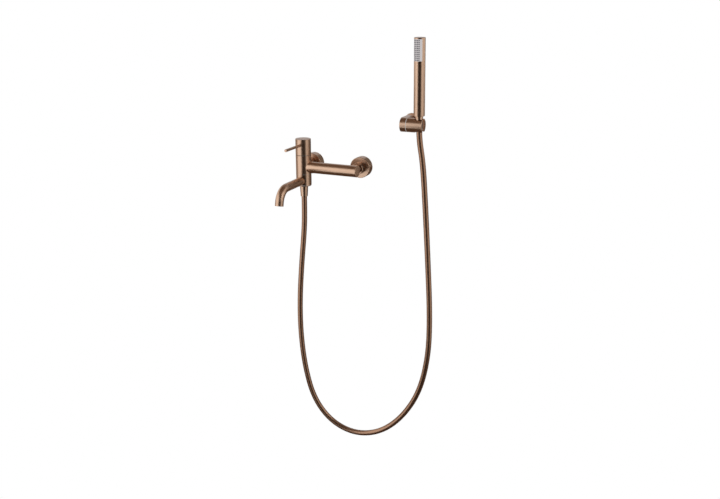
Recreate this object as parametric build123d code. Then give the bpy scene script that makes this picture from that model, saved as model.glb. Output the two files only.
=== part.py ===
from build123d import *
import math
import os

os.makedirs("parts", exist_ok=True)

# A wall-mounted bath mixer with a hand shower, its hose and a swivelling wall holder.
# Millimetres. The wall is the plane Y = 0 and the mixer stands out of it towards -Y.
# X runs along the wall to the right and Z is up. The origin is the centre of the
# left water inlet at the wall.

# Fits that are the same all over
seat_gap = 0.05
running_gap = 0.05
body_gap = 0.3
overrun = 2.0
edge = 0.5

# Where the mixer stands on the wall
inlet_spacing = 150.0
union_offset = 8.0
column_reach = 72.0

# Upright column of the body, heights from the body's axis
column_radius = 21.5
column_rim = 34.0
column_foot = 18.2
stem_inset = 6.5
stem_length = 32.6
chamber_radius = 12.7
chamber_floor = 13.0

# Cross bar and its end plug
bar_radius = 15.8
bar_overhang = 14.5
bar_bore_radius = 9.0
bar_bore_start = 15.0
bar_thread_radius = 11.0
bar_thread_length = 12.0
plug_flange = 2.0
plug_bore_radius = 7.0
plug_floor = 3.0
plug_groove = 1.9

# Drilled water ways in the body
hot_bore_radius = 5.0
hot_bore_end = 4.0
cold_bore_radius = 4.5
cold_bore_end = 7.0
cold_bore_rise = 3.0
port_radius = 2.5
hot_port_x = -2.5
hot_port_y = 5.5
cold_port_x = 8.0
cold_port_y = -2.0
mixed_port_x = -3.0
mixed_port_y = -7.0
mixed_port_radius = 3.0
stem_bore_radius = 7.0
stem_bore_top = 12.0
outlet_thread_radius = 9.5
outlet_thread_length = 12.6
window_radius = 5.0
window_drop = 31.0

# Inlet bosses, union nuts and eccentric unions, depths from the wall
boss_step = 0.2
boss_end = 44.0
boss_neck_radius = 11.0
boss_face = 35.7
boss_flange_radius = 12.7
boss_flange = 2.5
check_valve_radius = 7.5
check_valve_length = 13.0
check_valve_bore = 4.2
check_valve_ring = 1.2
seal_thickness = 2.0
seal_radius = 12.4
seal_bore = 8.0
union_head_radius = 13.0
union_head_bore = 9.0
union_body_radius = 15.0
union_body_front = 12.0
union_body_back = 3.0
union_tail_radius = 10.48
union_tail_length = 24.0
union_tail_bore = 6.5
union_tail_chamfer = 1.0
union_bore_meet = 7.0
nut_radius = 16.2
nut_flats = 30.0
nut_flats_length = 7.0
nut_back = 24.0
nut_shoulder = 1.8
nut_chamfer = 0.8
thread_gap = 0.15

# Wall rosettes
rosette_radius = 29.2
rosette_depth = 23.2
rosette_wall = 1.4
rosette_front = 1.5
rosette_edge = 0.8

# Handle: a cap that turns and tilts, with a lever rod
handle_gap = 1.4
cap_height = 43.8
cap_wall = 2.3
cap_top = 4.0
cap_boss_radius = 8.5
cap_boss_rise = 21.8
cap_seat_gap = 0.35
pivot_rise = 12.0
socket_depth = 13.8
stem_square = 7.0
lever_rise = 27.6
lever_radius = 3.9
lever_reach = 103.0
lever_root = 4.8
lever_tip_chamfer = 0.6
grub_radius = 2.5
grub_rise = 30.0
grub_length = 4.6
grub_socket = 1.3
grub_socket_depth = 2.2
plug_radius = 2.95
plug_depth = 2.8

# Ceramic cartridge, from the chamber floor up
base_thickness = 2.5
base_radius = 12.4
disc_radius = 11.0
disc_thickness = 2.2
slider_radius = 8.2
slider_thickness = 2.0
slider_offset = 2.2
slider_gap = 0.05
slider_pocket = 1.1
slider_pocket_radius = 5.2
carrier_thickness = 2.0
carrier_post_width = 7.0
carrier_post_length = 7.8
post_above_ball = 1.8
housing_radius = 12.5
housing_cavity_radius = 11.1
housing_cavity_height = 7.85
housing_shoulder = 9.1
neck_radius = 11.0
neck_bore_radius = 9.5
neck_height = 23.1
cartridge_nut_radius = 16.5
cartridge_nut_height = 3.4
cartridge_nut_slot = 3.0
guide_radius = 9.3
guide_flange_radius = 10.8
guide_flange = 1.2
guide_slot = 8.4
guide_above_pivot = 4.2
pin_radius = 1.5
pin_length = 17.6
blade_width = 8.0
blade_thickness = 6.0
blade_below = 4.0
blade_above = 5.0
ball_drop = 13.0
ball_radius = 2.7
ball_rod_radius = 1.8
ball_socket_radius = 2.9
ball_socket_floor = 3.4
port_seal_radius = 3.4
port_seal_wire = 0.6

# Spout that turns round the column's foot
slide_ring = 0.5
collar_height = 31.5
collar_wall = 4.3
sleeve_wall = 1.8
sleeve_window_radius = 6.5
outlet_flange = 2.4
outlet_flange_inset = 0.3
outlet_chamfer = 0.9
spout_drop = 37.4
spout_radius = 11.6
spout_bore_radius = 8.8
spout_straight = 105.5
spout_bend_radius = 40.0
spout_bend_angle = 78.0
spout_tip = 10.0
tip_bore_radius = 10.0
tip_bore_depth = 13.6
ring_wire = 0.9
ring_groove = 1.9
ring_drops = (4.3, 27.8)
aerator_recess = 0.8
aerator_length = 11.2
aerator_wall = 1.4
aerator_lip = 1.0
insert_height = 5.0
insert_hole_radius = 0.55
insert_ring_pitch = 2.0
insert_rings = 3
aerator_seal_thickness = 1.4

# Hose outlet under the column
spigot_radius = 10.48
spigot_length = 10.0
outlet_bore_radius = 5.5
outlet_valve_radius = 7.3
outlet_valve_length = 9.0

# Hose and its end fittings
hose_diameter = 15.5
hose_bore = 10.0
washer_thickness = 1.9
washer_radius = 9.5
washer_bore = 5.5
tail_flange = 1.9
tail_flange_radius = 9.4
tail_tongue_length = 12.0
tail_bore_radius = 3.6
lower_nut_gap = 0.6
lower_nut_length = 30.8
lower_nut_top_radius = 11.7
lower_nut_end_radius = 9.9
lower_tail_length = 4.9
nut_thread_depth = 10.6
upper_nut_top = 36.5
upper_nut_step = 27.0
upper_nut_neck = 24.5
upper_nut_bottom = 16.0
upper_nut_top_radius = 11.7
upper_nut_neck_radius = 10.4
upper_nut_end_radius = 8.7
upper_tail_end = 2.0
nut_bore_gap = 0.3

# Wall holder, and the hand shower's place in it
holder_reach = 59.2
holder_height = 134.9
holder_radius = 18.85
holder_left = 286.1
block_width = 16.1
friction_ring = 1.6
friction_ring_inset = 0.3
barrel_right = 346.7
barrel_edge = 0.6
handset_x = 334.6
handset_lean = 2.5
liner_radius = 11.7
liner_half_height = 14.4
hose_slot = 16.2
pivot_screw_radius = 3.0
pivot_screw_head_radius = 5.0
pivot_screw_head = 4.0
pivot_screw_end = 12.0
pivot_screw_shank = 30.0
pivot_socket = 2.5
spring_washer = 1.0
plate_radius = 22.5
plate_thickness = 3.0
plate_edge = 0.6
lug_width = 10.4
lug_height = 10.0
lug_length = 12.0
pocket_gap = 0.2
pocket_height = 30.0
pocket_depth = 14.0
wall_screw_spacing = 21.0
wall_screw_radius = 2.1
wall_screw_head_radius = 4.0
wall_screw_neck_radius = 1.8
wall_screw_neck_length = 2.0
wall_screw_length = 35.0
wall_screw_slot = 1.0
bracket_grub_depth = 7.0

# Hand shower, lengths along its own axis from the holder's axis
handset_start = 25.2
handset_length = 198.3
handset_radius = 14.75
handset_wall = 1.8
handset_edge = 0.6
connector_radius = 12.85
connector_start = 37.0
connector_length = 13.0
connector_spigot = 9.8
connector_bore_radius = 4.5
restrictor_length = 6.0
restrictor_bore_radius = 1.6
handset_ring_wire = 0.8
core_radius = 12.8
core_wall = 1.6
end_cap = 2.0
spray_length = 54.6
spray_below_end = 3.2
spray_half_angle = 60.0
spray_turn = 14.3
spray_columns = 4
spray_rows = 11
spray_column_angle = 17.4
spray_row_pitch = 4.85
nozzle_radius = 1.15
nozzle_height = 0.6
nozzle_hole_radius = 0.45
spray_gap = 0.1

# Route of the hose, chosen along the photograph's line, from the lower nut to the upper one
hose_route = [
    (0.0, -72.0, -64.0),
    (0.0, -72.0, -104.0),
    (-1.5, -72.1, -170.0),
    (-13.5, -72.4, -284.0),
    (-21.8, -72.8, -396.0),
    (-21.6, -72.8, -502.0),
    (-9.5, -72.2, -614.0),
    (17.5, -71.0, -714.0),
    (73.0, -68.6, -782.0),
    (150.5, -65.4, -809.5),
    (231.0, -61.8, -789.0),
    (299.0, -58.6, -727.5),
    (353.0, -56.4, -632.0),
    (376.8, -55.4, -512.0),
    (377.6, -55.3, -387.0),
    (367.5, -55.6, -228.0),
    (355.2, -56.0, -58.0),
    (346.5, -56.4, 44.0),
    (334.6, -57.72, 108.93),
    (334.6, -59.29, 144.9),
]
hose_radius_share = 0.45

# Places worked out from the sizes above
stem_radius = column_radius - stem_inset
boss_radius = bar_overhang - plug_flange - boss_step
outlet_flange_radius = column_radius - outlet_flange_inset
axis_z = union_offset
axis_y = -column_reach
rim_z = axis_z + column_rim
foot_z = axis_z - column_foot
stem_end_z = foot_z - stem_length
floor_z = axis_z + chamber_floor
cap_z = rim_z + handle_gap
cap_top_z = cap_z + cap_height
pivot_z = cap_z + pivot_rise
base_top_z = floor_z + base_thickness
slider_z = base_top_z + disc_thickness + slider_gap
carrier_z = slider_z + slider_thickness
guide_z = carrier_z + carrier_thickness + seat_gap * 4
shoulder_z = base_top_z + housing_shoulder
cap_inner_radius = column_radius - cap_wall
seat_radius = math.hypot(column_radius, pivot_rise) + cap_seat_gap
ball_z = pivot_z - ball_drop
collar_top_z = foot_z - slide_ring - seat_gap
collar_end_z = collar_top_z - collar_height
flange_top_z = collar_end_z - slide_ring - seat_gap
flange_end_z = flange_top_z - outlet_flange
spigot_end_z = flange_end_z - spigot_length
collar_bore_radius = column_radius - collar_wall
sleeve_bore_radius = collar_bore_radius - seat_gap - sleeve_wall
spout_z = axis_z - spout_drop
hose_radius = hose_diameter / 2
hose_bore_radius = hose_bore / 2
nut_bore_radius = hose_radius + nut_bore_gap
holder_z = axis_z + holder_height
holder_y = -holder_reach
block_right = holder_left + block_width
barrel_left = block_right + friction_ring + seat_gap
block_x = holder_left + block_width / 2
bore_radius = liner_radius + seat_gap
handset_end = handset_start + handset_length
handset_bore = handset_radius - handset_wall
bar_length = inlet_spacing + bar_overhang
bar_body_end = bar_length - plug_flange
spray_high = handset_end - spray_below_end
spray_low = spray_high - spray_length

column = Pos(0, axis_y, 0)
handset_frame = Pos(handset_x, holder_y, holder_z) * Rot(X=handset_lean)


def turned(points, axis=Axis.Z):
    """Solid of revolution round an axis through the origin; a point is (radius, place on the axis)."""
    if axis == Axis.Z:
        corners = [(r, 0, s) for r, s in points]
    elif axis == Axis.Y:
        corners = [(r, s, 0) for r, s in points]
    else:
        corners = [(s, r, 0) for r, s in points]
    return revolve(make_face(Polyline(*corners, close=True)), axis)


def tube(outer, inner, low, high, axis=Axis.Z):
    """Tube, or a full rod where inner is zero, between two places on an axis through the origin."""
    return turned([(inner, low), (outer, low), (outer, high), (inner, high)], axis)


def rod(radius, low, high, axis=Axis.Z):
    """Full rod between two places on an axis through the origin."""
    return tube(radius, 0, low, high, axis)


def block(x, y, z):
    """Box between the two ends given for each axis."""
    size = [high - low for low, high in (x, y, z)]
    return Pos(x[0], y[0], z[0]) * Box(*size, align=(Align.MIN, Align.MIN, Align.MIN))


def ring(radius, wire, place, axis=Axis.Z):
    """O-ring round the Z axis, or round the X axis where that is asked for."""
    if axis == Axis.Z:
        plane = Plane((radius, 0, place), x_dir=(1, 0, 0), z_dir=(0, -1, 0))
    else:
        plane = Plane((place, radius, 0))
    return revolve(plane * Circle(wire), axis)


def hexagon(across_flats, low, high):
    """Hexagonal prism on the Z axis."""
    face = RegularPolygon(across_flats / math.sqrt(3), 6)
    return Pos(0, 0, low) * extrude(face, high - low)


def save(name, shape):
    export_step(shape, os.path.join("parts", name + ".step"))


# Body of the mixer: one brass casting with its column, cross bar and inlet bosses

def mixer_body():
    bar = Pos(0, axis_y, axis_z)
    body = column * rod(column_radius, foot_z, rim_z)
    body += column * rod(stem_radius, stem_end_z, foot_z)
    body += bar * rod(bar_radius, 0, bar_body_end, Axis.X)
    for x in (0, inlet_spacing):
        boss = Pos(x, 0, axis_z)
        body += boss * rod(boss_radius, axis_y, -boss_end, Axis.Y)
        body += boss * rod(boss_neck_radius, axis_y, -boss_face, Axis.Y)
        body += boss * rod(boss_flange_radius, -boss_face - boss_flange, -boss_face, Axis.Y)
    # Bowl in which the cap's lower end tilts, then the thread and the cartridge chamber
    body -= Pos(0, axis_y, pivot_z) * Sphere(seat_radius)
    body -= column * rod(cartridge_nut_radius + thread_gap, shoulder_z, rim_z)
    body -= column * rod(chamber_radius, floor_z, shoulder_z + seat_gap)
    # Cold water comes along the bar
    body -= bar * rod(bar_bore_radius, bar_bore_start, bar_body_end + overrun, Axis.X)
    thread_start = bar_body_end - bar_thread_length
    body -= bar * rod(bar_thread_radius + thread_gap, thread_start, bar_body_end + overrun, Axis.X)
    cold = Pos(0, axis_y, axis_z + cold_bore_rise)
    body -= cold * rod(cold_bore_radius, cold_bore_end, bar_bore_start + overrun, Axis.X)
    cold_port = Pos(cold_port_x, axis_y + cold_port_y, 0)
    body -= cold_port * rod(port_radius, axis_z + cold_bore_rise, floor_z + overrun)
    # Hot water comes through the left boss
    left = Pos(0, 0, axis_z)
    body -= left * rod(hot_bore_radius, axis_y + hot_bore_end, -boss_face, Axis.Y)
    body -= Pos(hot_port_x, axis_y + hot_port_y, 0) * rod(port_radius, axis_z, floor_z + overrun)
    right = Pos(inlet_spacing, 0, axis_z)
    body -= right * rod(hot_bore_radius, axis_y, -boss_face, Axis.Y)
    for x in (0, inlet_spacing):
        pocket_end = -boss_face - check_valve_length
        pocket = rod(check_valve_radius + seat_gap, pocket_end, overrun - boss_face, Axis.Y)
        body -= Pos(x, 0, axis_z) * pocket
    # Mixed water goes down to the foot
    mixed = Pos(mixed_port_x, axis_y + mixed_port_y, 0)
    body -= mixed * rod(mixed_port_radius, axis_z - stem_bore_top - overrun, floor_z + overrun)
    body -= column * rod(stem_bore_radius, stem_end_z - overrun, axis_z - stem_bore_top)
    body -= column * rod(outlet_thread_radius, stem_end_z - overrun, stem_end_z + outlet_thread_length)
    window = rod(window_radius, axis_y - stem_radius - overrun, axis_y, Axis.Y)
    body -= Pos(0, 0, axis_z - window_drop) * window
    for drop in ring_drops:
        low = foot_z - drop - ring_groove / 2
        body -= column * tube(stem_radius + overrun, stem_radius - 2 * ring_wire, low, low + ring_groove)
    return body


def bar_end_plug():
    inner = bar_body_end - bar_thread_length + seat_gap
    groove = bar_body_end - plug_groove
    points = [
        (0, bar_length),
        (bar_radius - edge, bar_length),
        (bar_radius, bar_length - edge),
        (bar_radius, bar_body_end),
        (bar_thread_radius, bar_body_end),
        (bar_thread_radius - plug_groove, bar_body_end),
        (bar_thread_radius - plug_groove, groove),
        (bar_thread_radius, groove),
        (bar_thread_radius, inner),
        (plug_bore_radius, inner),
        (plug_bore_radius, bar_length - plug_floor),
        (0, bar_length - plug_floor),
    ]
    return Pos(0, axis_y, axis_z) * turned(points, Axis.X)


def bar_plug_ring():
    wire = plug_groove / 2 - seat_gap
    place = bar_body_end - plug_groove / 2
    return Pos(0, axis_y, axis_z) * ring(bar_thread_radius - plug_groove / 2, wire, place, Axis.X)


# Unions that join the body to the wall's pipes

def union(x):
    """Eccentric union: a tail in the wall, an offset body and a threaded head for the nut."""
    tail_end = union_tail_length
    points = [
        (0, -union_body_back),
        (union_tail_radius, -union_body_back),
        (union_tail_radius, tail_end - union_tail_chamfer),
        (union_tail_radius - union_tail_chamfer, tail_end),
        (0, tail_end),
    ]
    head = Pos(0, 0, union_offset)
    piece = turned(points, Axis.Y)
    piece += Pos(0, 0, union_offset / 2) * rod(union_body_radius, -union_body_front, -union_body_back, Axis.Y)
    head_end = -boss_face + seal_thickness
    piece += head * rod(union_head_radius, head_end, -union_body_front, Axis.Y)
    piece -= rod(union_tail_bore, -union_bore_meet - edge, tail_end + overrun, Axis.Y)
    piece -= head * rod(union_head_bore, head_end - overrun, edge - union_bore_meet, Axis.Y)
    return Pos(x, 0, 0) * piece


def union_nut(x):
    """Round nut with flats for a spanner at its back; its shoulder pulls the boss's flange on the seal."""
    front = -boss_face - boss_flange - nut_shoulder
    points = [
        (0, front),
        (nut_radius - nut_chamfer, front),
        (nut_radius, front + nut_chamfer),
        (nut_radius, -nut_back - nut_chamfer),
        (nut_radius - nut_chamfer, -nut_back),
        (0, -nut_back),
    ]
    nut = turned(points, Axis.Y)
    half = nut_flats / 2
    low = -nut_back - nut_flats_length
    for side in (-1, 1):
        flat = block((-nut_radius, nut_radius), (low, overrun - nut_back), (half, half + overrun))
        nut -= Rot(Y=90 * (1 - side)) * flat
    nut -= rod(union_head_radius + thread_gap, front + nut_shoulder, overrun - nut_back, Axis.Y)
    nut -= rod(boss_neck_radius + thread_gap, front - overrun, front + nut_shoulder + overrun, Axis.Y)
    return Pos(x, 0, axis_z) * nut


def inlet_seals():
    seal = tube(seal_radius, seal_bore, -boss_face, seal_thickness - boss_face, Axis.Y)
    return Compound([Pos(x, 0, axis_z) * seal for x in (0, inlet_spacing)])


def inlet_check_valve(x):
    """Sealed non-return cartridge that sits in a boss's mouth."""
    back = -boss_face - check_valve_length + seat_gap
    front = -boss_face - seat_gap
    groove = back + check_valve_length / 2
    points = [
        (check_valve_bore, back),
        (check_valve_radius, back),
        (check_valve_radius, groove),
        (check_valve_radius - check_valve_ring, groove + check_valve_ring / 2),
        (check_valve_radius, groove + check_valve_ring),
        (check_valve_radius, front),
        (check_valve_bore, front),
    ]
    shell = turned(points, Axis.Y)
    bar_width = check_valve_ring
    half = bar_width / 2
    spoke = block((-check_valve_bore, check_valve_bore), (back, back + bar_width), (-half, half))
    return Pos(x, 0, axis_z) * (shell + spoke + Rot(Y=90) * spoke)


def rosette(x):
    """Deep round cup that covers the union; its hole sits on the union's head."""
    front = -rosette_depth
    inner = rosette_radius - rosette_wall
    hole = union_head_radius + seat_gap
    points = [
        (inner, 0),
        (rosette_radius, 0),
        (rosette_radius, front + rosette_edge),
        (rosette_radius - rosette_edge, front),
        (hole, front),
        (hole, front + rosette_front),
        (inner - rosette_edge, front + rosette_front),
        (inner, front + rosette_front + rosette_edge),
    ]
    return Pos(x, 0, axis_z) * turned(points, Axis.Y)


# Ceramic cartridge

def cartridge_base():
    base = column * rod(base_radius, floor_z, base_top_z)
    for x, y, radius in ports():
        base -= Pos(x, axis_y + y, 0) * rod(radius, floor_z - overrun, base_top_z + overrun)
        seat = tube(port_seal_radius + 2 * port_seal_wire, 0, floor_z - overrun, floor_z + 2 * port_seal_wire)
        base -= Pos(x, axis_y + y, 0) * seat
    return base


def ports():
    """Places and radii of the hot, cold and mixed ports about the column's axis."""
    return [
        (hot_port_x, hot_port_y, port_radius),
        (cold_port_x, cold_port_y, port_radius),
        (mixed_port_x, mixed_port_y, port_radius),
    ]


def cartridge_port_seals():
    seal = ring(port_seal_radius, port_seal_wire - seat_gap, floor_z + port_seal_wire)
    return Compound([Pos(x, axis_y + y, 0) * seal for x, y, radius in ports()])


def fixed_disc():
    disc = column * rod(disc_radius, base_top_z, base_top_z + disc_thickness)
    for x, y, radius in ports():
        way = rod(radius - edge, base_top_z - overrun, base_top_z + disc_thickness + overrun)
        disc -= Pos(x, axis_y + y, 0) * way
    return disc


def moving_disc():
    place = Pos(0, axis_y + slider_offset, 0)
    disc = place * rod(slider_radius, slider_z, carrier_z)
    return disc - place * rod(slider_pocket_radius, slider_z - overrun, slider_z + slider_pocket)


def disc_carrier():
    top = ball_z + post_above_ball
    carrier = Pos(0, axis_y + slider_offset, 0) * rod(slider_radius, carrier_z, carrier_z + carrier_thickness)
    half_width = carrier_post_width / 2
    half_length = carrier_post_length / 2
    carrier += column * block((-half_width, half_width), (-half_length, half_length), (carrier_z, top))
    return carrier - column * rod(ball_socket_radius, ball_z - ball_socket_floor, top + overrun)


def cartridge_housing():
    cavity_top = base_top_z + housing_cavity_height
    neck_top = base_top_z + neck_height
    points = [
        (housing_cavity_radius, base_top_z),
        (housing_radius, base_top_z),
        (housing_radius, shoulder_z),
        (neck_radius, shoulder_z),
        (neck_radius, neck_top - edge),
        (neck_radius - edge, neck_top),
        (neck_bore_radius, neck_top),
        (neck_bore_radius, cavity_top),
        (housing_cavity_radius, cavity_top),
    ]
    return column * turned(points)


def cartridge_nut():
    top = shoulder_z + cartridge_nut_height
    hole = neck_radius + thread_gap
    nut = tube(cartridge_nut_radius, hole, shoulder_z, top)
    half = cartridge_nut_slot / 2
    for turn in range(4):
        slot = block((hole - overrun, cartridge_nut_radius - edge), (-half, half), (top - half, top + overrun))
        nut -= Rot(Z=90 * turn + 45) * slot
    return column * nut


def cartridge_guide():
    """Turns in the cartridge's neck, and carries the pin on which the stem tilts."""
    top = pivot_z + guide_above_pivot
    guide = rod(guide_radius, guide_z, top)
    guide += rod(guide_flange_radius, guide_z, guide_z + guide_flange)
    half = guide_slot / 2
    guide -= block((-half, half), (-guide_radius, guide_radius), (guide_z - overrun, top + overrun))
    guide = column * guide
    guide -= Pos(0, axis_y, pivot_z) * rod(pin_radius + running_gap, -guide_radius, guide_radius, Axis.X)
    return guide


def stem_pin():
    return Pos(0, axis_y, pivot_z) * rod(pin_radius, -pin_length / 2, pin_length / 2, Axis.X)


def cartridge_stem():
    half_width = blade_width / 2
    half_thickness = blade_thickness / 2
    half_square = stem_square / 2
    blade_top = pivot_z + blade_above
    top = cap_z + cap_boss_rise + socket_depth - seat_gap
    foot = pivot_z - blade_below
    stem = block((-half_width, half_width), (-half_thickness, half_thickness), (foot, blade_top))
    stem += block((-half_square, half_square), (-half_square, half_square), (blade_top, top))
    stem += rod(ball_rod_radius, ball_z, pivot_z - blade_below)
    stem += Pos(0, 0, ball_z) * Sphere(ball_radius)
    stem = column * stem
    hole = rod(pin_radius + running_gap, -blade_width, blade_width, Axis.X)
    return stem - Pos(0, axis_y, pivot_z) * hole


# Handle

def handle_cap():
    boss_z = cap_z + cap_boss_rise
    points = [
        (cap_inner_radius, cap_z),
        (column_radius, cap_z),
        (column_radius, cap_top_z - edge),
        (column_radius - edge, cap_top_z),
        (0, cap_top_z),
        (0, boss_z),
        (cap_boss_radius, boss_z),
        (cap_boss_radius, cap_top_z - cap_top),
        (cap_inner_radius, cap_top_z - cap_top),
    ]
    cap = turned(points)
    half = stem_square / 2 + seat_gap
    cap -= block((-half, half), (-half, half), (boss_z - overrun, boss_z + socket_depth))
    front = -column_radius - overrun
    cap -= Pos(0, 0, cap_z + lever_rise) * rod(lever_radius + seat_gap, front, -lever_root, Axis.Y)
    grub = Pos(0, 0, cap_z + grub_rise)
    cap -= grub * rod(grub_radius + seat_gap, 0, cap_boss_radius + overrun, Axis.Y)
    cap -= grub * rod(plug_radius + seat_gap, cap_inner_radius - overrun, column_radius + overrun, Axis.Y)
    return column * cap


def lever_rod():
    tip = -lever_reach
    chamfer_size = lever_tip_chamfer
    points = [
        (0, tip),
        (lever_radius - chamfer_size, tip),
        (lever_radius, tip + chamfer_size),
        (lever_radius, -lever_root - seat_gap),
        (0, -lever_root - seat_gap),
    ]
    return Pos(0, axis_y, cap_z + lever_rise) * turned(points, Axis.Y)


def grub_screw(length):
    """Headless screw on the Z axis from zero up, with a hexagon socket in its upper end."""
    screw = rod(grub_radius, 0, length)
    return screw - hexagon(2 * grub_socket, length - grub_socket_depth, length + overrun)


def handle_grub_screw():
    start = stem_square / 2 + seat_gap
    place = Pos(0, axis_y + start, cap_z + grub_rise) * Rot(X=-90)
    return place * grub_screw(grub_length)


def handle_screw_plug():
    plug = rod(plug_radius, column_radius - plug_depth, column_radius + overrun, Axis.Y)
    plug = Pos(0, 0, cap_z + grub_rise) * plug
    return column * (plug & rod(column_radius, cap_z, cap_top_z))


# Spout and what it turns on

def spout_slide_rings():
    inner = stem_radius + thread_gap
    outer = column_radius - edge
    upper = column * tube(outer, inner, foot_z - slide_ring, foot_z)
    lower = column * tube(outer, inner, flange_top_z, flange_top_z + slide_ring)
    return Compound([upper, lower])


def spout_o_rings():
    middle = stem_radius - ring_wire
    rings = [ring(middle, ring_wire - seat_gap, foot_z - drop) for drop in ring_drops]
    return Compound([column * one for one in rings])


def spout_collar():
    low = collar_end_z
    points = [
        (collar_bore_radius, low),
        (column_radius - edge, low),
        (column_radius, low + edge),
        (column_radius, collar_top_z),
        (collar_bore_radius, collar_top_z),
    ]
    collar = column * turned(points)
    hole = rod(spout_radius + seat_gap, axis_y - column_radius - overrun, axis_y, Axis.Y)
    return collar - Pos(0, 0, spout_z) * hole


def diverter_sleeve():
    """Turns with the spout; its two windows open the spout or the shower, as the spout stands."""
    sleeve = tube(collar_bore_radius - seat_gap, sleeve_bore_radius, collar_end_z, collar_top_z)
    reach = collar_bore_radius + overrun
    sleeve -= Pos(0, 0, spout_z) * rod(sleeve_window_radius, -reach, 0, Axis.Y)
    sleeve -= Pos(0, 0, spout_z) * rod(window_radius, 0, reach, Axis.X)
    return column * sleeve


def spout_path(start):
    """Straight from the column, one bend down and a short straight tip."""
    turn = math.radians(spout_bend_angle)
    tangent = spout_bend_radius * math.tan(turn / 2)
    corner = (0, axis_y - spout_straight - tangent, spout_z)
    reach = tangent + spout_tip
    tip = (0, corner[1] - reach * math.cos(turn), corner[2] - reach * math.sin(turn))
    return FilletPolyline((0, start, spout_z), corner, tip, radius=spout_bend_radius), tip


def tip_frame():
    """Frame at the spout's mouth, with its Z axis pointing out of the mouth."""
    path, tip = spout_path(axis_y)
    turn = math.radians(spout_bend_angle)
    return Plane(tip, x_dir=(1, 0, 0), z_dir=(0, -math.cos(turn), -math.sin(turn))).location


def spout_tube():
    path, tip = spout_path(axis_y)
    start = Plane((0, axis_y, spout_z), x_dir=(1, 0, 0), z_dir=(0, -1, 0))
    outer = sweep(start * Circle(spout_radius), path)
    inner = sweep(start * Circle(spout_bore_radius), path)
    pipe = outer - inner
    pipe -= tip_frame() * rod(tip_bore_radius, -tip_bore_depth, overrun)
    return pipe - column * rod(collar_bore_radius + seat_gap, collar_end_z - overrun, collar_top_z + overrun)


def aerator_housing():
    outer = tip_bore_radius - seat_gap
    inner = outer - aerator_wall
    low = -aerator_recess - aerator_length
    mouth = -aerator_recess
    points = [
        (inner, low),
        (outer, low),
        (outer, mouth - edge),
        (outer - edge, mouth),
        (inner - aerator_lip, mouth),
        (inner - aerator_lip, mouth - aerator_lip),
        (inner, mouth - aerator_lip),
    ]
    return tip_frame() * turned(points)


def aerator_insert():
    radius = tip_bore_radius - 2 * seat_gap - aerator_wall
    top = -aerator_recess - aerator_lip - seat_gap
    insert = rod(radius, top - insert_height, top)
    holes = [(0, 0)]
    for number in range(1, insert_rings + 1):
        count = 6 * number
        for step in range(count):
            angle = math.radians(360 * step / count)
            reach = number * insert_ring_pitch
            holes.append((reach * math.cos(angle), reach * math.sin(angle)))
    drill = rod(insert_hole_radius, top - insert_height - overrun, top + overrun)
    drills = [Pos(x, y, 0) * drill for x, y in holes]
    return tip_frame() * (insert - drills)


def aerator_seal():
    outer = tip_bore_radius - seat_gap
    high = -aerator_recess - aerator_length
    return tip_frame() * tube(outer, spout_bore_radius, high - aerator_seal_thickness, high)


# Hose outlet under the column

def shower_outlet():
    """Screws up into the body's foot, holds the spout's collar, and takes the hose's nut."""
    top = stem_end_z + outlet_thread_length - seat_gap
    thread = outlet_thread_radius - seat_gap
    valve_floor = top - outlet_valve_length
    points = [
        (outlet_bore_radius, spigot_end_z),
        (spigot_radius - edge, spigot_end_z),
        (spigot_radius, spigot_end_z + edge),
        (spigot_radius, flange_end_z),
        (outlet_flange_radius - outlet_chamfer, flange_end_z),
        (outlet_flange_radius, flange_end_z + outlet_chamfer),
        (outlet_flange_radius, flange_top_z),
        (stem_radius + thread_gap, flange_top_z),
        (stem_radius + thread_gap, stem_end_z - seat_gap),
        (thread, stem_end_z - seat_gap),
        (thread, top),
        (outlet_valve_radius + seat_gap, top),
        (outlet_valve_radius + seat_gap, valve_floor),
        (outlet_bore_radius, valve_floor),
    ]
    return column * turned(points)


def outlet_check_valve():
    top = stem_end_z + outlet_thread_length - seat_gap
    low = top - outlet_valve_length + seat_gap
    shell = tube(outlet_valve_radius, check_valve_bore, low, top)
    half = check_valve_ring / 2
    reach = check_valve_bore + edge
    spoke = block((-reach, reach), (-half, half), (low, low + check_valve_ring))
    return column * (shell + spoke + Rot(Z=90) * spoke)


# Hose, its nuts and tails

def hose_washer(low):
    return tube(washer_radius, washer_bore, low, low + washer_thickness)


def hose_tail(flange_low, shoulder, tongue_end):
    """Brass tail: a flange for the washer, a shoulder against the hose and a tongue in its bore."""
    tongue = hose_bore_radius - seat_gap
    ways = 1 if flange_low > shoulder else -1
    points = [
        (tail_bore_radius, flange_low + ways * tail_flange),
        (tail_flange_radius, flange_low + ways * tail_flange),
        (tail_flange_radius, flange_low),
        (hose_radius, flange_low),
        (hose_radius, shoulder),
        (tongue, shoulder),
        (tongue, tongue_end),
        (tail_bore_radius, tongue_end),
    ]
    return turned(points)


def lower_levels():
    """Heights on the column's axis: washer's foot, tail flange's foot and the hose's upper end."""
    washer = spigot_end_z - seat_gap - washer_thickness
    flange = washer - seat_gap - tail_flange
    return washer, flange, flange - lower_tail_length


def lower_hose_nut():
    washer, flange, end = lower_levels()
    top = flange_end_z - lower_nut_gap
    low = top - lower_nut_length
    lip = flange - seat_gap
    slope = (lower_nut_top_radius - lower_nut_end_radius) / lower_nut_length
    points = [
        (spigot_radius + thread_gap, top),
        (lower_nut_top_radius - edge, top),
        (lower_nut_top_radius - edge * slope, top - edge),
        (lower_nut_end_radius + edge * slope, low + edge),
        (lower_nut_end_radius - edge, low),
        (nut_bore_radius, low),
        (nut_bore_radius, lip),
        (spigot_radius - edge, lip),
        (spigot_radius - edge, washer),
        (spigot_radius + thread_gap, washer),
    ]
    return column * turned(points)


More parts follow.
